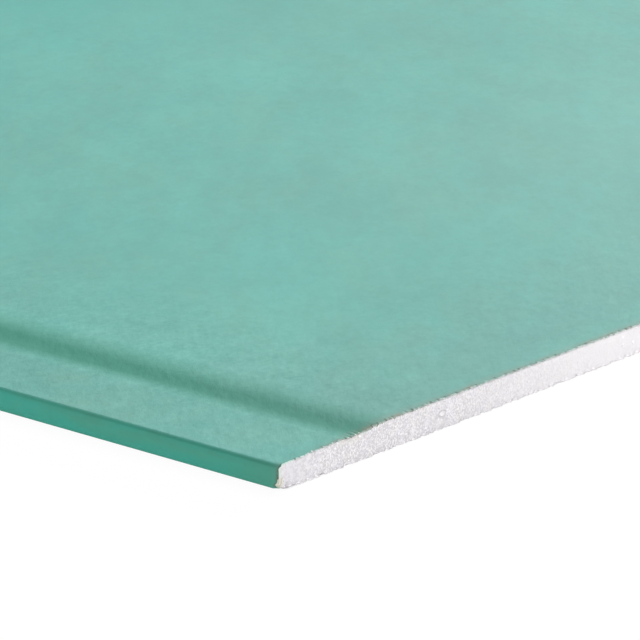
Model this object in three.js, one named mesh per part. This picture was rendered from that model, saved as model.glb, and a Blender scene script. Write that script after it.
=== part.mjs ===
// Moisture-resistant drywall sheet: a gypsum core bonded between two papers.
//
// The green face paper covers the front, turns down both long edges and is folded in under the core.
// The back paper lies over the ends of those two flaps, so a strip of flap stays bare along each long
// edge. The long edges are tapered on the front: a gently falling land along the edge, then an S-shaped
// ramp up to the flat field, so that tape and filler finish flush. The two short ends are cut square
// through paper and core.
//
// Units are millimetres. The origin is at the centre of the underside, X runs along the length,
// Y across the width and Z up through the thickness, so the sheet lies face up.

import * as THREE from "three";

// Sheet
const LENGTH = 2400;
const WIDTH = 1200;
const THICKNESS = 12.5; // over both papers, in the flat field

// Papers
const FACE_PAPER = 0.3;
const BACK_PAPER = 0.25;
const BARE_FLAP = 12; // from the long edge to the edge of the back paper
const FLAP_LAP = 14; // the rest of the flap, which the back paper covers

// Tapered long edges
const LAND_WIDTH = 36; // gently falling strip that the joint tape lies on
const LAND_DROP = 0.8; // fall of the land towards the edge
const RAMP_WIDTH = 26; // S-shaped step between the land and the field
const RAMP_DROP = 1.5;
const RAMP_EASE = 0.5; // how far each handle of the S-curve reaches along the ramp: 0 is a straight slope

// Folds of the face paper, as inside radii, which are the core's own corner radii
const FACE_FOLD = 1.5;
const BACK_FOLD = 2.2;

// Straight pieces that each curve of the section is drawn with
const RAMP_STEPS = 48;
const FOLD_STEPS = 12;

const face_paper_finish = new THREE.MeshStandardMaterial({
  color: 0x74b5a6,
  roughness: 0.6,
  metalness: 0,
});
const gypsum_finish = new THREE.MeshStandardMaterial({
  color: 0xe9e7ea,
  roughness: 0.95,
  metalness: 0,
});
const back_paper_finish = new THREE.MeshStandardMaterial({
  color: 0xcbc6bc,
  roughness: 0.85,
  metalness: 0,
});

const edge = WIDTH / 2;
const rampFoot = edge - LAND_WIDTH;
const rampTop = rampFoot - RAMP_WIDTH;
const backPaperEdge = edge - BARE_FLAP;
const flapEnd = backPaperEdge - FLAP_LAP;

// The +Y half of the wrapped outline, from the top of the ramp over the edge to the end of the flap.
// inset is the depth below the face paper's outer surface: 0 is the outside, FACE_PAPER is the core.
function halfOutline(inset) {
  const field = THICKNESS - inset;
  const land = field - RAMP_DROP;
  const landEdge = land - LAND_DROP;
  const faceRadius = FACE_FOLD + FACE_PAPER - inset;
  const backRadius = BACK_FOLD + FACE_PAPER - inset;
  const faceCentre = edge - inset - faceRadius;
  const backCentre = edge - inset - backRadius;
  const underside = BACK_PAPER + inset;
  const handle = RAMP_WIDTH * RAMP_EASE;

  const path = new THREE.Path();
  path.moveTo(rampTop, field);
  path.bezierCurveTo(rampTop + handle, field, rampFoot - handle, land, rampFoot, land);
  path.lineTo(faceCentre, landEdge);
  path.absarc(faceCentre, landEdge - faceRadius, faceRadius, Math.PI / 2, 0, true);
  path.absarc(backCentre, underside + backRadius, backRadius, 0, -Math.PI / 2, true);
  path.lineTo(flapEnd, underside);
  return path;
}

function stepsAlong(curve) {
  if (curve.isCubicBezierCurve) {
    return RAMP_STEPS;
  }
  return curve.isEllipseCurve ? FOLD_STEPS : 1;
}

// The points of a path, each curve in its own number of steps, so that straight runs keep only their ends.
function sample(path) {
  const points = [path.curves[0].getPoint(0)];
  for (const curve of path.curves) {
    points.push(...curve.getPoints(stepsAlong(curve)).slice(1));
  }
  return points;
}

// Both halves as one run of points, from the flap on the -Y side over the top to the flap on the +Y side.
function wrappedOutline(inset) {
  const right = sample(halfOutline(inset));
  const left = right.map((p) => new THREE.Vector2(-p.x, p.y)).reverse();
  return [...left, ...right];
}

// Extrudes a section drawn in the YZ plane along X, centred on the origin.
const SECTION_TO_SHEET = new THREE.Matrix4().makeBasis(
  new THREE.Vector3(0, 1, 0),
  new THREE.Vector3(0, 0, 1),
  new THREE.Vector3(1, 0, 0),
);

function alongSheet(points) {
  const geometry = new THREE.ExtrudeGeometry(new THREE.Shape(points), {
    depth: LENGTH,
    steps: 1,
    bevelEnabled: false,
  });
  geometry.translate(0, 0, -LENGTH / 2);
  return geometry.applyMatrix4(SECTION_TO_SHEET);
}

function named(name, geometry, material) {
  const mesh = new THREE.Mesh(geometry, material);
  mesh.name = name;
  return mesh;
}

// Face paper: one wrapped strip of constant thickness.
function facePaper() {
  const outside = wrappedOutline(0);
  const inside = wrappedOutline(FACE_PAPER).reverse();
  return named("face_paper", alongSheet([...outside, ...inside]), face_paper_finish);
}

// Gypsum core: fills the wrap and steps down to the back paper between the two flaps.
function gypsumCore() {
  const section = [
    ...wrappedOutline(FACE_PAPER),
    new THREE.Vector2(flapEnd, BACK_PAPER),
    new THREE.Vector2(-flapEnd, BACK_PAPER),
  ];
  return named("gypsum_core", alongSheet(section), gypsum_finish);
}

// Back paper: a flat strip that laps over both flaps.
function backPaper() {
  const section = [
    new THREE.Vector2(-backPaperEdge, 0),
    new THREE.Vector2(backPaperEdge, 0),
    new THREE.Vector2(backPaperEdge, BACK_PAPER),
    new THREE.Vector2(-backPaperEdge, BACK_PAPER),
  ];
  return named("back_paper", alongSheet(section), back_paper_finish);
}

const sheet = new THREE.Group();
sheet.name = "drywall_sheet";
sheet.add(facePaper(), gypsumCore(), backPaper());

export default sheet;
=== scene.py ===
"""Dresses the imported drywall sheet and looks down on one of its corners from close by.

The papers and the core are lofted across the sheet, column by column, along the section that the
CAD core has, so that they sit where the CAD says, and their cut ends are torn and broken here.
Lengths are in metres, in the sheet's own frame: X along it, Y across it, Z up.
"""

import math

import bpy
from mathutils import Matrix, Vector, noise

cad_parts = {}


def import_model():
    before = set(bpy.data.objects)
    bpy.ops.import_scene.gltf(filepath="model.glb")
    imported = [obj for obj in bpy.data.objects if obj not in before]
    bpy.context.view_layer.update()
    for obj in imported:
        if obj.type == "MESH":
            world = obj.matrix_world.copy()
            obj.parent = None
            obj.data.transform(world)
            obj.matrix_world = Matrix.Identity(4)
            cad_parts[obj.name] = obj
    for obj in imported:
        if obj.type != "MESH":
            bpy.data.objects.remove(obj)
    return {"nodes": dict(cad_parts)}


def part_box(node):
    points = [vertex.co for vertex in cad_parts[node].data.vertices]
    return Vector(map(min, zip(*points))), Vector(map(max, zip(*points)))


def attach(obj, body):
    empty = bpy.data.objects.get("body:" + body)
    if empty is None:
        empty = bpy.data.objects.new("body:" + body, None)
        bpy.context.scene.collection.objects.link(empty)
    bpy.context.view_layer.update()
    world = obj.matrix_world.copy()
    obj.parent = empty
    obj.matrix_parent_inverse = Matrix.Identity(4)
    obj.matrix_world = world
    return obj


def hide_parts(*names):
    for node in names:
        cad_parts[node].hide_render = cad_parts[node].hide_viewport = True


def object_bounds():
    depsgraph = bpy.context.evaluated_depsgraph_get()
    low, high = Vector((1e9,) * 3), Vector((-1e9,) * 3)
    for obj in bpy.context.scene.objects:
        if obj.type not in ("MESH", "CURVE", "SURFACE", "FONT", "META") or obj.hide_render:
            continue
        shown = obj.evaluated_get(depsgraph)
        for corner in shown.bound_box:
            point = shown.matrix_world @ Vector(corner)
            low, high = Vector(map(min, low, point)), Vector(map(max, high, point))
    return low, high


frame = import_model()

MM = 0.001
CAD_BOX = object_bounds()
LOW, HIGH = CAD_BOX
CORE_LOW, CORE_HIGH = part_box("gypsum_core")
BACK_LOW, BACK_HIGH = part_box("back_paper")
FACE_PAPER = HIGH.y - CORE_HIGH.y
BACK_PAPER = BACK_HIGH.z - BACK_LOW.z
MID_HEIGHT = (CORE_LOW.z + CORE_HIGH.z) / 2
FLAP_SEAT = BACK_HIGH.z + FACE_PAPER / 2  # below the flaps' inner side and above the core's underside
END_X = HIGH.x
EDGE_Y = HIGH.y

# Columns across the sheet: close together by the corner that the camera is near, then wider and wider.
FINE_STEP = 0.28 * MM
FINE_REACH = 250 * MM
STEP_GROWTH = 0.006

# Rows from the underside to the top of the core's two cut ends, the near one and the far one.
NEAR_ROWS = 44
FAR_ROWS = 12

# Distances from each cut end at which the papers have a row, and how much of the torn edge shows there.
OUTER_ROWS = ((0, 1), (0.35 * MM, 0.8), (1.1 * MM, 0.4), (4 * MM, 0), (30 * MM, 0), (300 * MM, 0))
INNER_ROWS = ((0, 1), (0.4 * MM, 0.8), (1.1 * MM, 0.4))


# ---------------------------------------------------------------- section


def core_outline():
    """The core's section as two runs of (y, z) from the -Y side to the +Y side: its top and underside."""
    vertices = frame["nodes"]["gypsum_core"].data.vertices
    points = {(round(v.co.y, 7), round(v.co.z, 7)) for v in vertices}
    top = [Vector(p) for p in sorted(points) if p[1] > MID_HEIGHT]
    # The underside steps down where the back paper's bed begins and up again where it ends.
    by_step = sorted(points, key=lambda p: (p[0], math.copysign(p[1], p[0])))
    under = [Vector(p) for p in by_step if p[1] < MID_HEIGHT]
    return top, under


def taper(top):
    """How far in from the long edge the taper's land ends, and its ramp, along the core's top."""
    outwards = [p.x for p in top if p.x > 0]
    # The land is the only long straight stretch beyond the field.
    ramp_foot = max(zip(outwards, outwards[1:]), key=lambda ends: ends[1] - ends[0])[0]
    return EDGE_Y - ramp_foot, EDGE_Y - outwards[0]


def step_at(y):
    """Spacing of the columns at y."""
    return FINE_STEP + STEP_GROWTH * max(0, y - LOW.y - FINE_REACH)


def refined(points):
    """The same run with more points in its long stretches."""
    run = [points[0]]
    for target in points[1:]:
        while (target - run[-1]).length > 1.5 * step_at(run[-1].x):
            run.append(run[-1] + (target - run[-1]).normalized() * step_at(run[-1].x))
        run.append(target)
    return run


def heights(points, stations):
    """z at each y of stations, along a run of (y, z) points."""
    found = []
    i = 0
    for y in stations:
        while i < len(points) - 2 and points[i + 1].x < y:
            i += 1
        start, end = points[i], points[i + 1]
        share = (y - start.x) / max(end.x - start.x, 1e-9)
        found.append(start.y + (end.y - start.y) * min(max(share, 0), 1))
    return found


def outward(points):
    """The unit normal at each point of a run, on its left hand as the run goes on."""
    normals = []
    for i in range(len(points)):
        before = points[max(i - 1, 0)]
        after = points[min(i + 1, len(points) - 1)]
        along = (after - before).normalized()
        normals.append(Vector((-along.y, along.x)))
    return normals


CORE_TOP, CORE_UNDER = core_outline()
LAND_END, RAMP_END = taper(CORE_TOP)


# ---------------------------------------------------------------- broken and torn ends

# In this part a place is (side, y, z), with side 1 on the near cut end and -1 on the far one.

DENSE_EDGE = 22 * MM  # next to the long edges the gypsum is set denser and has few pores
SMALL_PORES = (1.9 * MM, 0.5 * MM, 0.35)  # pitch, widest radius, and share of the cells that hold one
LARGE_PORES = (4.7 * MM, 0.8 * MM, 0.3)
GYPSUM_BEHIND = 0.13 * MM  # how far behind the cut plane the gypsum has broken, before its relief
GYPSUM_LEAST = 0.02 * MM  # and how far at the least
UPPER_RIM = 0.7 * MM  # height of the strips along the core's two rims that the cut has crumbled
LOWER_RIM = 1.2 * MM
RING_VOID = Vector((LOW.y + 95.2 * MM, 6.1 * MM))  # (y, z) of a large air bubble that the cut went through
RING_RADIUS = 1.3 * MM
RING_STRETCH = 1.8  # how much longer than high the bubble is
RING_GROOVE = 0.5 * MM  # depth of the groove round it
RING_LINE = 0.4 * MM  # half the groove's width
BITE_PITCH = 1.9 * MM  # the cut has bitten into the paper's rim about this far apart
CHIP_WIDTH = 2.5 * MM  # of the sliver of face paper that the near corner has lost below these heights
CHIP_TOP = 5.6 * MM
DEEP_CHIP_TOP = 3.4 * MM
KNOCKS = (  # corner of the near end, how far it is pushed in, and how far around it that reaches
    (Vector((HIGH.x, LOW.y, LOW.z)), Vector((-0.5, 0.35, 1.05)) * MM, 4.5 * MM),
    (Vector((HIGH.x, LOW.y, LOW.z + 10.4 * MM)), Vector((-0.1, 0.3, -0.6)) * MM, 3.4 * MM),
)


def held(value):
    """A value kept between 0 and 1."""
    return min(max(value, 0), 1)


def rise(value, start, end):
    """How far value has come from start to end, from 0 to 1."""
    return held((value - start) / (end - start))


def from_edge(place):
    """Distance in from the nearer long edge."""
    return EDGE_Y - abs(place.y)


def past_land(place):
    """0 on the tapers' lands and 1 further in, where the cut has frayed the paper more."""
    return rise(from_edge(place), LAND_END, LAND_END + 5 * MM)


def ripple(place, size, octaves=3):
    """Fractal noise of about -1 to 1, with features of that size."""
    return noise.fractal(place / size, 0.9, 2.1, octaves, noise_basis="PERLIN_ORIGINAL")


def pore(place, pitch, widest, share):
    """Depth of a round pore at place: that share of the cells of that pitch hold one."""
    distances, centres = noise.voronoi(place / pitch)
    chance = noise.cell(centres[0] * 7.3)
    chance = chance - math.floor(chance)
    if chance > share:
        return 0
    radius = widest * (0.45 + 0.55 * chance / share)
    reach = distances[0] * pitch
    return math.sqrt(max(radius * radius - reach * reach, 0))


def ring_void(place):
    """Depth of the groove round the bubble's rim."""
    if place.x < 0:
        return 0
    reach = math.hypot((place.y - RING_VOID.x) / RING_STRETCH, place.z - RING_VOID.y) - RING_RADIUS
    return RING_GROOVE * math.exp(-((reach / RING_LINE) ** 2))


def bites(place):
    """Depth from 0 to 1 of the bites along a rim, no two of them alike."""
    along = place.y / BITE_PITCH + 0.6 * ripple(place, 6 * MM, 2)
    cell = math.floor(along)
    depth, centre, width = (noise.cell(Vector((1.7 * cell, 3 * place.x, 5 * k))) % 1 for k in range(3))
    inward = from_edge(place)
    share = rise(inward, 5 * MM, 13 * MM) * max(0.3, rise(inward, 110 * MM, 60 * MM))
    away = abs(along - cell - 0.35 - 0.3 * centre) / (0.15 + 0.3 * width)
    return share * depth**1.5 * held(1.4 - 1.4 * away)


def lower_edge(place):
    """How far the cut stands back along the sheet's lower edge."""
    return MM * max(0, 0.3 + 1.1 * ripple(Vector((place.x, place.y, 0)), 2.6 * MM, 4))


def core_depth(place, from_top, from_bottom):
    """How far the broken gypsum stands back from the cut plane at a place."""
    porous = rise(from_edge(place), 0, DENSE_EDGE) ** 2
    wave = 0.06 * MM * ripple(place, 14 * MM)
    lumps = (0.08 + 0.05 * porous) * MM * ripple(place, 1.9 * MM, 4)
    pores = pore(place, *SMALL_PORES) + pore(place, *LARGE_PORES)
    chips = 0.15 + 1.1 * past_land(place) + 0.6 * max(0, ripple(place, 2.2 * MM, 2))
    upper = MM * chips * rise(from_top, UPPER_RIM, 0)
    lower = lower_edge(place) * rise(from_bottom, LOWER_RIM, 0)
    relief = wave + lumps + 0.85 * porous * pores + ring_void(place)
    return max(GYPSUM_LEAST, GYPSUM_BEHIND + relief + upper + lower)


def corner_chip(place):
    """Millimetres of face paper that are gone at the near low corner."""
    if place.x < 0 or place.y > LOW.y + CHIP_WIDTH:
        return 0
    shallow = rise(place.z, CHIP_TOP, CHIP_TOP - 0.5 * MM)
    return 0.5 * shallow + 0.9 * rise(place.z, DEEP_CHIP_TOP, DEEP_CHIP_TOP - 1.2 * MM)


def face_tear(place, layer):
    """How far the face paper's torn edge stands back from the cut plane.

    layer is 1 on the paper's outer side and 0 on its inner side, which is torn back less so that the
    plies between them show.
    """
    inner = past_land(place)
    on_top = rise(from_edge(place), 1.5 * MM, 2.5 * MM) if place.z > MID_HEIGHT else 0
    fray = 0.1 * ripple(place, 9 * MM, 2) + (0.22 + 0.4 * on_top) * ripple(place, 1.3 * MM, 3)
    deep = on_top * (0.3 - 0.2 * inner + (1.6 - 0.5 * inner) * bites(place))
    return MM * max(0, 0.02 + fray + deep + corner_chip(place)) * (1 if layer else 0.3)


def face_bend(place, layer):
    """How far the face paper's torn end is pressed down over the gypsum."""
    flap = max(0, 0.15 + 0.8 * ripple(place, 1.7 * MM, 3))
    pressed = past_land(place) * (1 - 0.45 * rise(from_edge(place), 60 * MM, 100 * MM))
    return MM * pressed * (0.45 if layer else 0.45 + flap)


def back_tear(place, _):
    """How far the back paper's ragged edge stands back from the cut plane."""
    return lower_edge(place)


def unbent(*_):
    """No bend, for the paper that lies flat."""
    return 0


def knocked(point):
    """The point pushed in where the sheet's near corner has had its knocks."""
    moved = Vector(point)
    for corner, push, reach in KNOCKS:
        share = max(0, 1 - ((Vector(point) - corner).length / reach) ** 2)
        moved += share * share * push
    return moved


# ---------------------------------------------------------------- meshes


def lofted(name, rings, rims=(), sharp=40):
    """A closed mesh through equal closed rings of points, capped flat on the first and the last.

    rims are the places in the ring whose faces take the second material. Edges with a bend of more than
    sharp degrees stay sharp.
    """
    count = len(rings[0])
    vertices = [knocked(point) for ring in rings for point in ring]
    faces = [tuple(range(count)), tuple(reversed(range(len(vertices) - count, len(vertices))))]
    second = [0, 0]
    for first in range(0, len(vertices) - count, count):
        for i in range(count):
            j = (i + 1) % count
            faces.append((first + i, first + count + i, first + count + j, first + j))
            second.append(1 if i in rims else 0)
    mesh = bpy.data.meshes.new(name)
    mesh.from_pydata(vertices, [], faces)
    mesh.polygons.foreach_set("material_index", second)
    mesh.polygons.foreach_set("use_smooth", [True] * len(faces))
    mesh.set_sharp_from_angle(angle=math.radians(sharp))
    piece = bpy.data.objects.new(name, mesh)
    bpy.context.scene.collection.objects.link(piece)
    return piece


def core_piece(top, under):
    """The gypsum core: each ring goes up the near cut end and down the far one."""
    stations = [p.x for p in top]
    rings = []
    for y, high, low in zip(stations, heights(top, stations), heights(under, stations)):
        ring = []
        for side, rows in ((1, NEAR_ROWS), (-1, FAR_ROWS)):
            for row in range(rows + 1):
                share = row / rows if side > 0 else 1 - row / rows
                z = low + (high - low) * share
                depth = core_depth(Vector((side, y, z)), high - z, z - low)
                ring.append((side * (END_X - depth), y, z))
        rings.append(ring)
    return lofted("gypsum_core_body", rings, sharp=70)


def paper_ring(y, z, normal, thickness, tear, bend):
    """One column of a paper: out along its outer side, back along its inner side.

    tear says how far its ends stand back, and bend how far they are pressed towards the core.
    """
    ring = []
    outer = [(1, 1, *row) for row in OUTER_ROWS] + [(1, -1, *row) for row in reversed(OUTER_ROWS)]
    inner = [(0, -1, *row) for row in INNER_ROWS] + [(0, 1, *row) for row in reversed(INNER_ROWS)]
    for layer, side, distance, share in outer + inner:
        place = Vector((side, y, z))
        x = side * (END_X - distance - tear(place, layer) * share)
        offset = layer * thickness - bend(place, layer) * share**2
        ring.append((x, y + normal.x * offset, z + normal.y * offset))
    return ring


def paper_piece(name, path, thickness, tear, bend):
    """A paper of that thickness, laid on the left hand side of a path of (y, z) points."""
    rings = []
    for point, normal in zip(path, outward(path)):
        rings.append(paper_ring(point.x, point.y, normal, thickness, tear, bend))
    return lofted(name, rings, range(2 * len(OUTER_ROWS) - 1, len(rings[0])))


# ---------------------------------------------------------------- nodes


class Nodes:
    """A node tree, with short ways to add to it.

    Values are numbers or sockets, and shares run from 0 to 1.
    """

    def __init__(self, tree):
        self.tree = tree

    def add(self, kind, **settings):
        """A new node of that kind with those settings."""
        node = self.tree.nodes.new(kind)
        for name, value in settings.items():
            setattr(node, name, value)
        return node

    def put(self, socket, value):
        """Links a socket to value, or sets it if value isn't a socket."""
        if isinstance(value, bpy.types.NodeSocket):
            self.tree.links.new(value, socket)
        else:
            socket.default_value = value

    def maths(self, operation, first, second=0):
        node = self.add("ShaderNodeMath", operation=operation)
        self.put(node.inputs[0], first)
        self.put(node.inputs[1], second)
        return node.outputs["Value"]

    def product(self, first, *others):
        for other in others:
            first = self.maths("MULTIPLY", first, other)
        return first

    def greatest(self, first, *others):
        for other in others:
            first = self.maths("MAXIMUM", first, other)
        return first

    def plus(self, first, second, weight=1):
        """first, with second added as often as weight says."""
        return self.maths("ADD", first, self.maths("MULTIPLY", second, weight))

    def ranged(self, value, low, high, to_low=0, to_high=1):
        """value mapped from one range to another and held inside it."""
        node = self.add("ShaderNodeMapRange")
        self.put(node.inputs["Value"], value)
        limits = {"From Min": low, "From Max": high, "To Min": to_low, "To Max": to_high}
        for name, number in limits.items():
            node.inputs[name].default_value = number
        return node.outputs["Result"]

    def mixed(self, share, first, second):
        """The first colour with that share of the second."""
        node = self.add("ShaderNodeMix", data_type="RGBA")
        self.put(node.inputs[0], share)
        for socket, colour in ((node.inputs[6], first), (node.inputs[7], second)):
            self.put(socket, colour if isinstance(colour, bpy.types.NodeSocket) else (*colour, 1))
        return node.outputs[2]


class Look(Nodes):
    """A material of the sheet while it is made.

    end, edge and height are millimetres in from the nearer cut end, in from the nearer long edge, and
    up from the underside. foot and crest are how far in from that edge the taper's ramp begins and ends.
    """

    foot = LAND_END / MM
    crest = RAMP_END / MM

    def __init__(self, name):
        self.material = bpy.data.materials.new(name)
        self.material.use_nodes = True
        super().__init__(self.material.node_tree)
        self.shader = self.tree.nodes["Principled BSDF"]
        self.place = self.add("ShaderNodeTexCoord").outputs["Object"]
        self.axes = self.add("ShaderNodeSeparateXYZ")
        self.put(self.axes.inputs["Vector"], self.place)
        self.end = self.millimetres_inside("X", END_X)
        self.edge = self.millimetres_inside("Y", EDGE_Y)
        self.height = self.maths("MULTIPLY", self.axes.outputs["Z"], 1 / MM)

    def millimetres_inside(self, axis, limit):
        """How far a place lies within plus and minus limit along that axis."""
        inside = self.maths("SUBTRACT", limit, self.maths("ABSOLUTE", self.axes.outputs[axis]))
        return self.maths("MULTIPLY", inside, 1 / MM)

    def by_end(self, low, high, to_low=0, to_high=1):
        """ranged, by how far in from the cut end a place is."""
        return self.ranged(self.end, low, high, to_low, to_high)

    def by_edge(self, low, high, to_low=0, to_high=1):
        """ranged, by how far in from the long edge a place is."""
        return self.ranged(self.edge, low, high, to_low, to_high)

    def by_height(self, low, high, to_low=0, to_high=1):
        """ranged, by how far above the underside a place is."""
        return self.ranged(self.height, low, high, to_low, to_high)

    def grain(self, size, stretch=(1, 1, 1), detail=3, roughness=0.55, lean=0):
        """Noise from 0 to 1 with features of that size, drawn out by stretch along axes turned by lean."""
        mapping = self.add("ShaderNodeMapping", vector_type="TEXTURE")
        mapping.inputs["Rotation"].default_value = (0, 0, lean)
        mapping.inputs["Scale"].default_value = [size * s for s in stretch]
        self.put(mapping.inputs["Vector"], self.place)
        texture = self.add("ShaderNodeTexNoise")
        texture.inputs["Scale"].default_value = 1
        texture.inputs["Detail"].default_value = detail
        texture.inputs["Roughness"].default_value = roughness
        self.put(texture.inputs["Vector"], mapping.outputs["Vector"])
        return texture.outputs["Fac"]

    def chance_in(self, cells):
        """A random share for each cell of a Voronoi texture."""
        parts = self.add("ShaderNodeSeparateColor")
        self.put(parts.inputs["Color"], cells.outputs["Color"])
        return parts.outputs["Red"]

    def pinholes(self, pitch, radius, share):
        """1 in round spots of that radius, in that share of the cells of that pitch, and 0 between them."""
        cells = self.add("ShaderNodeTexVoronoi")
        cells.inputs["Scale"].default_value = 1 / pitch
        self.put(cells.inputs["Vector"], self.place)
        inside = self.ranged(cells.outputs["Distance"], 0.5 * radius / pitch, radius / pitch, 1, 0)
        return self.product(inside, self.maths("LESS_THAN", self.chance_in(cells), share))

    def strips(self, pitch, width):
        """1 in strips of that width across Y, about that pitch apart and of uneven strength, else 0."""
        cells = self.add("ShaderNodeTexVoronoi", voronoi_dimensions="1D")
        cells.inputs["Scale"].default_value = 1 / pitch
        cells.inputs["Randomness"].default_value = 0.9
        self.put(cells.inputs["W"], self.axes.outputs["Y"])
        half = width / pitch / 2
        inside = self.ranged(cells.outputs["Distance"], 0.6 * half, 1.4 * half, 1, 0)
        return self.product(inside, self.ranged(self.chance_in(cells), 0.25, 0.7))

    def distance_to(self, point, stretch=1):
        """Distance from a point, with Y drawn in by stretch."""
        drawn_in = self.add("ShaderNodeVectorMath", operation="MULTIPLY")
        self.put(drawn_in.inputs[0], self.place)
        drawn_in.inputs[1].default_value = (1, 1 / stretch, 1)
        away = self.add("ShaderNodeVectorMath", operation="DISTANCE")
        self.put(away.inputs[0], drawn_in.outputs["Vector"])
        away.inputs[1].default_value = (point[0], point[1] / stretch, point[2])
        return away.outputs["Value"]

    def bumped(self, height, distance, under=None):
        """A normal from heights of 0 to 1 times that distance, on top of another normal."""
        node = self.add("ShaderNodeBump")
        node.inputs["Distance"].default_value = distance
        node.inputs["Strength"].default_value = 1
        self.put(node.inputs["Height"], height)
        if under is not None:
            self.put(node.inputs["Normal"], under)
        return node.outputs["Normal"]

    def finished(self, colour, roughness, normal=None):
        """The material with these on its shader."""
        self.put(self.shader.inputs["Base Color"], colour)
        self.put(self.shader.inputs["Roughness"], roughness)
        if normal is not None:
            self.put(self.shader.inputs["Normal"], normal)
        return self.material


# ---------------------------------------------------------------- materials

# Colours, as linear red, green and blue.
# PAPER_DEEP is the paper's deep tone, and also painted shade in the field
PAPER_DEEP = (0.113, 0.319, 0.278)
PAPER_PALE = (0.153, 0.523, 0.447)
PAPER_COOL = (0.118, 0.423, 0.371)
PAPER_WARM = (0.148, 0.417, 0.349)
PAPER_RUBBED_DARK = (0.070, 0.316, 0.266)
PAPER_RUBBED_PALE = (0.220, 0.556, 0.486)
PAPER_LAND_COOL = (0.030, 0.241, 0.201)
PAPER_LAND_WARM = (0.081, 0.221, 0.151)
PAPER_WORN = (0.216, 0.666, 0.586)
# painted sheen near the cut ends, and the deeper green painted far from them
PAPER_SHEEN_PALE = (0.223, 0.425, 0.38)
PAPER_LESS_SHEEN_DEEP = (0.048, 0.42, 0.372)
# painted shade on the taper's ramp
PAPER_RAMP_SHADE = (0.030, 0.240, 0.160)
PAPER_GREYED_BY_CUT = (0.139, 0.266, 0.256)
# painted shade of the long side
PAPER_SIDE_SHADE = (0.040, 0.365, 0.275)
PAPER_SCUFFED = (0.098, 0.275, 0.195)
# painted shade by the long side's upper fold, and painted light by its lower fold
PAPER_FOLD_SHADE = (0.04, 0.20, 0.145)
PAPER_LOWER_FOLD_LIGHT = (0.06, 0.42, 0.31)
PLY_DARK = (0.045, 0.075, 0.06)
# painted shade on the long side's torn edge
PLY_SIDE_EDGE_SHADE = (0.11, 0.17, 0.135)
PLY_BROWN = (0.24, 0.25, 0.20)
PLY_GREY = (0.36, 0.46, 0.43)
PLY_PALE = (0.68, 0.81, 0.78)
PLY_MINT = (0.64, 0.86, 0.75)
PLY_TORN = (0.80, 0.86, 0.84)
PLY_CREAM = (0.56, 0.60, 0.48)
PAPER_LAND_WHITE = (0.75, 0.87, 0.88)
GYPSUM_PALE = (0.865, 0.845, 0.865)
GYPSUM_GREY = (0.62, 0.60, 0.63)
GYPSUM_WARM = (0.86, 0.83, 0.80)
GYPSUM_LILAC = (0.81, 0.80, 0.88)
GYPSUM_DENSE = (0.83, 0.815, 0.86)
GYPSUM_FAR = (0.96, 0.935, 0.955)
GYPSUM_BRIGHT = (0.99, 0.97, 0.99)
GYPSUM_CREAM = (0.78, 0.75, 0.66)
GYPSUM_MINT = (0.70, 0.84, 0.75)
GYPSUM_DARK = (0.42, 0.38, 0.38)
# painted shade in pores and in the groove round the air bubble
GYPSUM_HOLE_SHADE = (0.36, 0.35, 0.37)
BACK_DARK = (0.55, 0.52, 0.46)
BACK_PALE = (0.66, 0.63, 0.57)
BACK_FLECK = (0.40, 0.37, 0.32)
BACK_CLOUD = (0.68, 0.64, 0.57)
BACK_PLY_GREY = (0.72, 0.70, 0.71)
BACK_PLY_PALE = (0.86, 0.85, 0.86)

# Roughness, and depth of the finest relief.
MATT = 0.95  # gypsum and torn paper
BACK_ROUGHNESS = 0.85
FLOOR_ROUGHNESS = 0.9
PAPER_ROUGHNESS = (0.62, 0.68)
PAPER_SWELLS = 0.2 * MM
PAPER_FIBRES = 0.45 * MM
GYPSUM_SPECKS = 0.08 * MM
BACK_FIBRES = 0.03 * MM

PAPER_IOR = 1.45
PAPER_GLOSS = 0.25  # specular level of the face paper: half the usual one, since it is fibrous
MOTTLE_SPREAD = 0.147  # the paper's clouds are all deep below their mean by this, and all pale above it
FORMATION = dict(stretch=(1, 2.6, 1), lean=math.radians(40))  # how the fibres of the face paper lie
# the dark marks are painted shade in the bites
BITE_SHADE_MARKS = (3.9 * MM, 1.0 * MM)  # pitch and width of the dark marks where the cut has bitten into a rim

# Spots on the gypsum: pitch, radius, and share of the cells that hold one.
# painted shade of small pores, besides the modelled ones
PORE_SHADE_SPOTS = (1.9 * MM, 0.42 * MM, 0.38)
# painted shade in small pits, and painted glints, on the crushed corner
PIT_SHADE_SPOTS = (1.5 * MM, 0.45 * MM, 0.4)
GLINT_SPOTS = (1.1 * MM, 0.35 * MM, 0.35)

NICKS = (  # from the near long edge, height above the underside and radius, in millimetres
    (1.4, 9.9, 0.55),
    (8.4, 10.7, 0.35),
    (12.2, 10.8, 0.6),
    (0.1, 5.3, 0.45),
    (0.2, 1.9, 0.5),
    (4.3, 1.7, 0.35),
    (3.2, 3.6, 0.25),
)


def nicked(look):
    """Share of a dark colour in the few nicks of the near end's rim."""
    total = 0
    for inward, height, radius in NICKS:
        away = look.distance_to((END_X - 0.2 * MM, LOW.y + inward * MM, LOW.z + height * MM))
        total = look.greatest(total, look.ranged(away, 0.5 * radius * MM, 1.3 * radius * MM, 0.85, 0))
    return total


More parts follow.
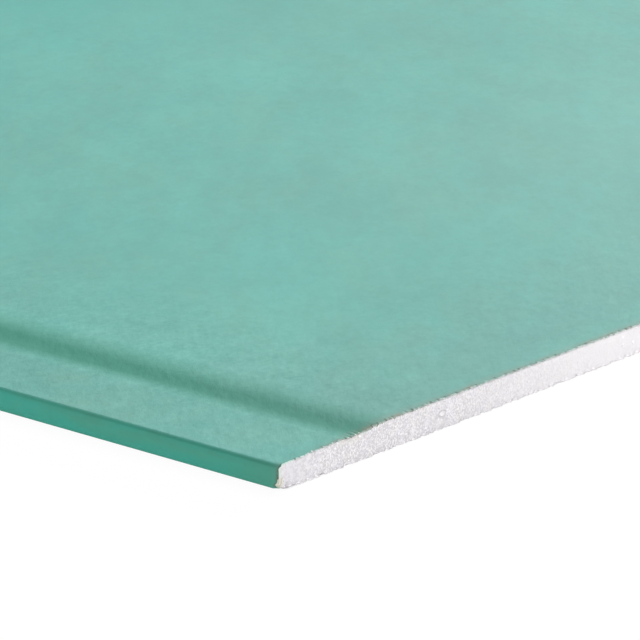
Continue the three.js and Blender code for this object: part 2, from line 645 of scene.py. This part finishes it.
def ply_colour(look):
    """The inner plies of torn paper: pale by the long edges and browner further in."""
    fray = look.grain(1.1 * MM, (1, 2, 1))
    colour = look.mixed(look.ranged(fray, 0.40, 0.60), PLY_GREY, PLY_PALE)
    browned = look.product(look.by_edge(14, 40, 0, 0.6), look.by_edge(65, 100, 1, 0.35))
    colour = look.mixed(browned, colour, PLY_BROWN)
    colour = look.mixed(look.by_end(0.45, 0.75), colour, PLY_TORN)
    colour = look.mixed(look.by_edge(6, 14, 0.8, 0), colour, PLY_MINT)
    # painted shade in the bites along the rim
    marks = look.product(look.by_edge(3, 8, 0, 0.75), look.by_edge(60, 90, 1, 0.4))
    colour = look.mixed(look.product(look.strips(*BITE_SHADE_MARKS), marks), colour, PLY_DARK)

    chipped = look.product(look.by_height(5.3, 5.8, 1, 0), look.by_edge(2.5, 3.5, 1, 0))
    on_side = look.greatest(look.by_edge(0.3, 0.5, 1, 0), chipped)
    # down the long side the torn edge is cream low down, and above that drab: painted shade
    colour = look.mixed(on_side, colour, look.mixed(look.by_height(5.3, 5.8), PLY_CREAM, PLY_SIDE_EDGE_SHADE))
    under = look.product(look.by_height(1.2, 2.0, 1, 0), look.by_edge(1.5, 2.5))
    colour = look.mixed(under, colour, GYPSUM_PALE)
    return look.mixed(nicked(look), colour, PLY_DARK)


def liner_colour(look, flecks, near_edges, on_side):
    """The dyed paper: leaning clouds of fibres, and flecks where it has been handled."""
    mottle = look.grain(60 * MM, detail=5, roughness=0.85, **FORMATION)
    clouds = look.ranged(mottle, 0.5 - MOTTLE_SPREAD, 0.5 + MOTTLE_SPREAD)
    colour = look.mixed(clouds, PAPER_DEEP, PAPER_PALE)
    hue = look.grain(38 * MM, roughness=0.8, **FORMATION)
    colour = look.mixed(0.62, colour, look.mixed(look.ranged(hue, 0.37, 0.63), PAPER_COOL, PAPER_WARM))
    rubbed = look.mixed(look.ranged(flecks, 0.3, 0.7), PAPER_RUBBED_DARK, PAPER_RUBBED_PALE)
    handled = look.product(look.ranged(near_edges, 0, 1, 0.15, 0.6), look.ranged(on_side, 0, 1, 1, 0.7))
    return look.mixed(handled, colour, rubbed)


def land_colour(look, colour, on_side):
    """The land: greyer and a little whiter, and worn towards the cut ends."""
    on_top = look.maths("SUBTRACT", 1, on_side)
    share = look.product(on_top, look.by_edge(look.foot - 6, look.foot + 4, 1, 0))
    greyed = look.mixed(look.ranged(look.grain(26 * MM), 0.38, 0.62), PAPER_LAND_COOL, PAPER_LAND_WARM)
    colour = look.mixed(look.product(share, 0.35), colour, greyed)
    colour = look.mixed(look.product(share, 0.04), colour, PAPER_LAND_WHITE)
    return look.mixed(look.product(share, look.by_end(20, 150, 0.2, 0.03)), colour, PAPER_WORN)


def painted_ramp_shade(look, colour):
    """The ramp: painted shade on its slope, in a band that is wider further away from the cut ends."""
    away = look.by_end(100, 240)
    to_foot = look.plus(look.edge, away, 2.5)
    to_crest = look.plus(look.edge, away, -3)
    begun = look.ranged(to_foot, look.foot, look.foot + 8)
    left = look.ranged(to_crest, look.crest - 12, look.crest + 7, 0.78, 0)
    # painted shade along the ramp
    return look.mixed(look.product(begun, left), colour, PAPER_RAMP_SHADE)


def field_colour(look, colour):
    """The field: painted shade in the centre, by the ends and past the ramp, greyer painted sheen by the
    ends.
    """
    # painted shade in the centre, by the cut ends and just beyond the ramp
    middle_shade = look.product(look.by_edge(460, 590, 0, 0.3), look.by_end(300, 480, 0.15, 1))
    by_ends_shade = look.product(look.by_edge(150, 280), look.by_end(100, 320, 0.04, 0))
    past = look.maths("SUBTRACT", look.edge, look.crest)
    by_ramp_shade = look.product(look.ranged(past, 6, 14), look.ranged(past, 28, 63, 1, 0))
    by_ramp_shade = look.product(by_ramp_shade, look.by_end(110, 220, 0, 0.32))
    colour = look.mixed(look.greatest(middle_shade, by_ends_shade, by_ramp_shade), colour, PAPER_DEEP)
    # painted sheen, paler towards the cut ends
    painted_sheen = look.product(look.by_end(190, 340, 0.25, 0), look.by_edge(200, 450))
    colour = look.mixed(painted_sheen, colour, PAPER_SHEEN_PALE)
    # a deeper green painted far from the cut ends, the other side of that painted sheen
    return look.mixed(look.by_end(480, 640, 0, 0.3), colour, PAPER_LESS_SHEEN_DEEP)


def greyed_by_cut_colour(look, colour):
    """A greyer green in patches beside the cut ends."""
    patches = look.ranged(look.grain(30 * MM, (1, 2, 1)), 0.35, 0.6, 0.5, 1.2)
    share = look.product(patches, look.by_end(5, 110, 0.26, 0), look.by_edge(30, 60))
    return look.mixed(share, colour, PAPER_GREYED_BY_CUT)


def side_colour(look, colour, on_side):
    """The paper down the long edge: scuffs, painted shade, more by the upper fold, painted light low down.
    """
    # painted shade over the long side, a darker and stronger green
    colour = look.mixed(look.product(on_side, 0.8), colour, PAPER_SIDE_SHADE)
    scuffs = look.ranged(look.grain(24 * MM, (1.5, 1, 0.4), 4), 0.42, 0.62, 0, 0.46)
    scuffs = look.product(scuffs, look.by_height(2.5, 7, 0.3, 1))
    scuffs = look.greatest(scuffs, look.by_end(8, 35, 0.5, 0))
    colour = look.mixed(look.product(on_side, scuffs), colour, PAPER_SCUFFED)
    # painted shade on the side's upper part, and a darker painted line along the upper fold
    colour = look.mixed(look.product(on_side, look.by_height(6.5, 8.5, 0, 0.15)), colour, PAPER_FOLD_SHADE)
    fold = look.product(look.by_height(8.9, 9.4), look.by_height(9.8, 10.1, 1, 0))
    colour = look.mixed(look.product(fold, look.by_end(0, 120, 0.5, 0.25)), colour, PAPER_FOLD_SHADE)
    # painted light low on the side, by its lower fold
    return look.mixed(look.product(on_side, look.by_height(1.5, 4, 0.1, 0)), colour, PAPER_LOWER_FOLD_LIGHT)


def cut_colour(look, colour, on_side):
    """The last millimetres before a cut end: fibres dragged over the rim, painted shade and bite marks."""
    inward = look.by_edge(18, 40, 0.35, 1)
    reach = look.plus(look.end, look.grain(5 * MM, (0.6, 2.5, 1)), -3)
    colour = look.mixed(look.product(look.ranged(reach, -1, 3, 0.34, 0), inward), colour, PLY_BROWN)
    dragged = look.ranged(look.grain(7 * MM, (0.25, 1.6, 1)), 0.5, 0.58)
    dragged = look.product(dragged, look.ranged(reach, -0.8, 0.4, 0.8, 0), inward)
    colour = look.mixed(dragged, colour, PLY_BROWN)

    chipped = look.plus(look.by_height(5, 5.6, 0.4, 0), look.by_height(2.2, 3.4, 1.3, 0))
    # painted shade along the long side's torn end
    stain_and_edge_shade = look.ranged(look.maths("SUBTRACT", look.end, chipped), 0.8, 1.5, 0.85, 0)
    spotted = look.ranged(look.grain(1.4 * MM), 0.42, 0.56, 0.5, 1)
    colour = look.mixed(look.product(stain_and_edge_shade, spotted, on_side), colour, PLY_SIDE_EDGE_SHADE)
    # painted shade in the bites just before the cut end
    marks = look.product(look.strips(*BITE_SHADE_MARKS), look.by_end(0.7, 1.2, 0.75, 0))
    return look.mixed(look.greatest(marks, nicked(look)), colour, PLY_DARK)


def face_paper_material():
    look = Look("green_liner_paper")
    on_side = look.by_edge(0.6, 1.9, 1, 0)
    near_edges = look.greatest(look.by_edge(look.foot, 150, 1, 0), look.by_end(5, 120, 0.4, 0))
    flecks = look.grain(8 * MM, (1, 1.6, 1), detail=4, roughness=0.9)
    colour = liner_colour(look, flecks, near_edges, on_side)
    colour = land_colour(look, colour, on_side)
    colour = field_colour(look, colour)
    colour = painted_ramp_shade(look, colour)
    colour = greyed_by_cut_colour(look, colour)
    colour = side_colour(look, colour, on_side)
    colour = cut_colour(look, colour, on_side)

    swells = look.bumped(look.grain(32 * MM), PAPER_SWELLS)
    fibres = look.grain(8 * MM, detail=4, roughness=0.6, **FORMATION)
    raised = look.product(fibres, look.ranged(near_edges, 0, 1, 0.25, 1))
    look.shader.inputs["IOR"].default_value = PAPER_IOR
    look.shader.inputs["Specular IOR Level"].default_value = PAPER_GLOSS
    roughness = look.ranged(flecks, 0.3, 0.7, *PAPER_ROUGHNESS)
    return look.finished(colour, roughness, look.bumped(raised, PAPER_FIBRES, under=swells))


def torn_paper_material():
    look = Look("torn_paper_edge")
    return look.finished(ply_colour(look), MATT)


def patched_colour(look, colour):
    """A cream stain under the rim of the core, and a patch where a green ply still sticks to it."""
    stain_and_edge_shade = look.product(look.by_edge(33, 37), look.by_edge(45, 49, 0.3, 0))
    colour = look.mixed(look.product(stain_and_edge_shade, look.by_height(7.5, 9)), colour, GYPSUM_CREAM)
    peeled = look.product(look.by_edge(46, 47.5), look.by_edge(50.5, 52, 0.8, 0))
    return look.mixed(look.product(peeled, look.by_height(9.8, 10.8)), colour, GYPSUM_MINT)


def crushed_colour(look, colour):
    """The crushed low corner: dark streaks, painted shade in small pits, and painted glints."""
    crushed = look.mixed(look.by_edge(2.2, 3.4), GYPSUM_CREAM, GYPSUM_DENSE)
    streaks = look.grain(0.8 * MM, (1, 1, 2.5), 2)
    crushed = look.mixed(look.ranged(streaks, 0.50, 0.64, 0, 0.6), crushed, GYPSUM_DARK)
    # painted shade in small pits
    crushed = look.mixed(look.product(look.pinholes(*PIT_SHADE_SPOTS), 0.7), crushed, GYPSUM_DARK)
    # painted glints
    crushed = look.mixed(look.product(look.pinholes(*GLINT_SPOTS), 0.8), crushed, GYPSUM_BRIGHT)
    share = look.product(look.by_edge(4.6, 6, 1, 0), look.by_height(5, 6, 1, 0))
    return look.mixed(share, colour, crushed)


def ringed_colour(look, colour):
    """The large air bubble: bright inside, with painted shade along the groove round it."""
    away = look.distance_to((END_X, *RING_VOID), RING_STRETCH)
    inside = look.ranged(away, RING_RADIUS, RING_RADIUS + 0.5 * MM, 0.5, 0)
    colour = look.mixed(inside, colour, GYPSUM_BRIGHT)
    # painted shade along the groove round the bubble
    from_line = look.maths("ABSOLUTE", look.maths("SUBTRACT", away, RING_RADIUS))
    return look.mixed(look.ranged(from_line, 0.1 * MM, 0.35 * MM, 0.5, 0), colour, GYPSUM_HOLE_SHADE)


def gypsum_material():
    """Dense and smooth by the long edges, then coarse and full of pores, then finer and paler."""
    look = Look("broken_gypsum")
    coarse = look.by_edge(45, 190, 1, 0.3)
    dense = look.by_edge(12, 26, 1, 0)
    rough = look.product(coarse, look.ranged(dense, 0, 1, 1, 0.3))
    greyed = look.product(look.by_edge(12, 20), look.by_edge(50, 110, 1, 0.3))
    softened = look.ranged(greyed, 0.3, 1, 1, 0.75)

    specks = look.grain(0.8 * MM, detail=4, roughness=0.65)
    lumps = look.grain(3.2 * MM, roughness=0.7)
    fine = look.product(look.maths("SUBTRACT", specks, 0.45), look.ranged(dense, 0, 1, 5.8, 2.8), softened)
    broad = look.product(look.maths("SUBTRACT", lumps, 0.5), look.ranged(dense, 0, 1, 2.8, 7))
    tone = look.product(look.maths("ADD", fine, broad), coarse)
    tone = look.maths("ADD", tone, look.ranged(greyed, 0, 1, 0.55, 0.24))
    colour = look.mixed(tone, GYPSUM_GREY, GYPSUM_PALE)
    hue = look.ranged(look.grain(4.5 * MM), 0.4, 0.6)
    colour = look.mixed(0.2, colour, look.mixed(hue, GYPSUM_WARM, GYPSUM_LILAC))
    colour = look.mixed(look.product(look.ranged(specks, 0.52, 0.62), rough), colour, GYPSUM_BRIGHT)
    colour = look.mixed(look.product(dense, 0.4), colour, GYPSUM_DENSE)
    colour = look.mixed(look.by_edge(110, 200, 0, 0.7), colour, GYPSUM_FAR)
    colour = patched_colour(look, colour)
    # painted shade of small pores, besides the modelled ones
    pores = look.product(look.pinholes(*PORE_SHADE_SPOTS), rough, softened)
    colour = look.mixed(pores, colour, GYPSUM_HOLE_SHADE)

    by_paper = look.product(look.by_edge(0.7, 1.8, 1, 0), look.by_height(5.5, 6))
    colour = look.mixed(by_paper, colour, GYPSUM_MINT)
    colour = crushed_colour(look, colour)
    colour = ringed_colour(look, colour)
    colour = look.mixed(nicked(look), colour, GYPSUM_DARK)
    return look.finished(colour, MATT, look.bumped(specks, GYPSUM_SPECKS))


def back_paper_material():
    look = Look("grey_liner_paper")
    fibres = look.grain(1.1 * MM, (2.2, 1, 1), 4)
    flecks = look.grain(2.6 * MM, (1.5, 1, 1), 5, 0.7)
    clouds = look.grain(60 * MM, detail=2)
    colour = look.mixed(look.ranged(fibres, 0.3, 0.7), BACK_DARK, BACK_PALE)
    colour = look.mixed(look.ranged(flecks, 0.62, 0.72), colour, BACK_FLECK)
    colour = look.mixed(look.ranged(clouds, 0.3, 0.7, 0, 0.25), colour, BACK_CLOUD)
    return look.finished(colour, BACK_ROUGHNESS, look.bumped(fibres, BACK_FIBRES))


def back_edge_material():
    look = Look("torn_back_paper_edge")
    fray = look.ranged(look.grain(0.9 * MM), 0.4, 0.6)
    return look.finished(look.mixed(fray, BACK_PLY_GREY, BACK_PLY_PALE), MATT)


# ---------------------------------------------------------------- studio

LENS_MM = 196.99
PITCH = math.radians(16.644)  # down from level
YAW = math.radians(40.305)  # from +Y towards -X
IMAGE = 640
CORNER_PIXEL = (278.29, 492.99)  # where the sheet's near bottom corner falls in the image
CORNER_DEPTH = 1.2526  # from the camera to that corner, along the view
FLOOR_SIZE = 120
FLOOR_GAP = 0.1 * MM
FLOOR_GREY = 0.8  # the floor for the light that it throws back on the sheet
FLOOR_GLOW = 0.96  # of the floor's white that its shadows don't take away
FLOOR_WHITE = 1.02  # about as bright as it is seen where no shadow falls

# Lamps: azimuth from +Y towards -X, elevation and width in degrees, and strength.
KEY = (12, 12, 12, 4.6)  # from beyond the far edge and low, so that the near edge's ramp turns away from it
OVERHEAD = (0, 60, 50, 1.80)  # high and wide, for an even light on the face
FILL = (225, 5, 8, 2.38)  # level, for the cut end and the long side that the camera sees
WORLD_LIGHT = 0.06


def camera():
    """Looks along PITCH and YAW, from where the near bottom corner falls on CORNER_PIXEL."""
    data = bpy.data.cameras.new("camera")
    data.lens = LENS_MM
    data.clip_start = 0.01
    data.clip_end = 500
    forward = Vector((-math.sin(YAW) * math.cos(PITCH), math.cos(YAW) * math.cos(PITCH), -math.sin(PITCH)))
    right = forward.cross(Vector((0, 0, 1))).normalized()
    up = right.cross(forward)
    metres_per_pixel = CORNER_DEPTH * data.sensor_width / data.lens / IMAGE
    across = (CORNER_PIXEL[0] - IMAGE / 2) * metres_per_pixel
    above = (IMAGE / 2 - CORNER_PIXEL[1]) * metres_per_pixel
    corner = Vector((HIGH.x, LOW.y, LOW.z))
    place = corner - forward * CORNER_DEPTH - right * across - up * above
    made = bpy.data.objects.new("camera", data)
    made.matrix_world = Matrix.Translation(place) @ Matrix((right, up, -forward)).transposed().to_4x4()
    bpy.context.scene.collection.objects.link(made)
    bpy.context.scene.camera = made


def soft_sun(name, azimuth, elevation, width, strength):
    """A lamp far away in that direction."""
    data = bpy.data.lights.new(name, "SUN")
    data.angle = math.radians(width)
    data.energy = strength
    lamp = bpy.data.objects.new(name, data)
    a, e = math.radians(azimuth), math.radians(elevation)
    towards = Vector((-math.sin(a) * math.cos(e), math.cos(a) * math.cos(e), math.sin(e)))
    lamp.rotation_mode = "QUATERNION"
    lamp.rotation_quaternion = towards.to_track_quat("Z", "Y")
    bpy.context.scene.collection.objects.link(lamp)


def seen_directly(nodes):
    """1 for rays that show a background: from the camera, or by a reflection or a clear body."""
    path = nodes.add("ShaderNodeLightPath").outputs
    return nodes.greatest(path["Is Camera Ray"], path["Is Glossy Ray"], path["Is Transmission Ray"])


def world():
    made = bpy.data.worlds.new("studio")
    made.use_nodes = True
    nodes = Nodes(made.node_tree)
    background = made.node_tree.nodes["Background"]
    background.inputs["Color"].default_value = (1, 1, 1, 1)
    nodes.put(background.inputs["Strength"], nodes.ranged(seen_directly(nodes), 0, 1, WORLD_LIGHT, 1))
    bpy.context.scene.world = made


def floor_material():
    """Plain grey for the light that it throws back, and white to the eye but for the sheet's shadow."""
    made = bpy.data.materials.new("pale_floor")
    made.use_nodes = True
    nodes = Nodes(made.node_tree)
    plain = made.node_tree.nodes["Principled BSDF"]
    plain.inputs["Base Color"].default_value = (FLOOR_GREY, FLOOR_GREY, FLOOR_GREY, 1)
    plain.inputs["Roughness"].default_value = FLOOR_ROUGHNESS
    glow = nodes.add("ShaderNodeEmission")
    glow.inputs["Strength"].default_value = FLOOR_GLOW
    shaded = nodes.add("ShaderNodeBsdfDiffuse")
    shaded.inputs["Color"].default_value = (*[FLOOR_WHITE - FLOOR_GLOW] * 3, 1)
    bright = nodes.add("ShaderNodeAddShader")
    nodes.put(bright.inputs[0], glow.outputs["Emission"])
    nodes.put(bright.inputs[1], shaded.outputs["BSDF"])
    choice = nodes.add("ShaderNodeMixShader")
    nodes.put(choice.inputs["Fac"], seen_directly(nodes))
    nodes.put(choice.inputs[1], plain.outputs["BSDF"])
    nodes.put(choice.inputs[2], bright.outputs["Shader"])
    nodes.put(made.node_tree.nodes["Material Output"].inputs["Surface"], choice.outputs["Shader"])
    return made


def floor():
    """A pale floor that keeps the sheet's shadow and is otherwise as white as the background."""
    half = FLOOR_SIZE / 2
    z = LOW.z - FLOOR_GAP
    corners = [(x, y, z) for x, y in ((-half, -half), (half, -half), (half, half), (-half, half))]
    mesh = bpy.data.meshes.new("floor")
    mesh.from_pydata(corners, [], [(0, 1, 2, 3)])
    mesh.materials.append(floor_material())
    plane = bpy.data.objects.new("floor", mesh)
    bpy.context.scene.collection.objects.link(plane)


# ---------------------------------------------------------------- the sheet

left_flap = [p for p in CORE_UNDER if p.x < 0 and p.y > FLAP_SEAT]
right_flap = [p for p in CORE_UNDER if p.x > 0 and p.y > FLAP_SEAT]
wrapped = refined(left_flap[::-1] + CORE_TOP + right_flap[::-1])
under_back = refined([Vector((BACK_LOW.y, BACK_HIGH.z)), Vector((BACK_HIGH.y, BACK_HIGH.z))])

gypsum = core_piece(refined(CORE_TOP), CORE_UNDER)
face_paper = paper_piece("face_paper_wrap", wrapped, FACE_PAPER, face_tear, face_bend)
back_paper = paper_piece("back_paper_liner", under_back[::-1], BACK_PAPER, back_tear, unbent)

dressing = (
    (gypsum, "gypsum_core", "gypsum", (gypsum_material(),)),
    (face_paper, "face_paper", "face_paper", (face_paper_material(), torn_paper_material())),
    (back_paper, "back_paper", "back_paper", (back_paper_material(), back_edge_material())),
)
for piece, node, slot, finishes in dressing:
    for finish in finishes:
        piece.data.materials.append(finish)
    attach(piece, "root")
    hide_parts(node)

camera()
world()
floor()
soft_sun("key", *KEY)
soft_sun("overhead", *OVERHEAD)
soft_sun("fill", *FILL)
bpy.context.scene.view_settings.view_transform = "Standard"
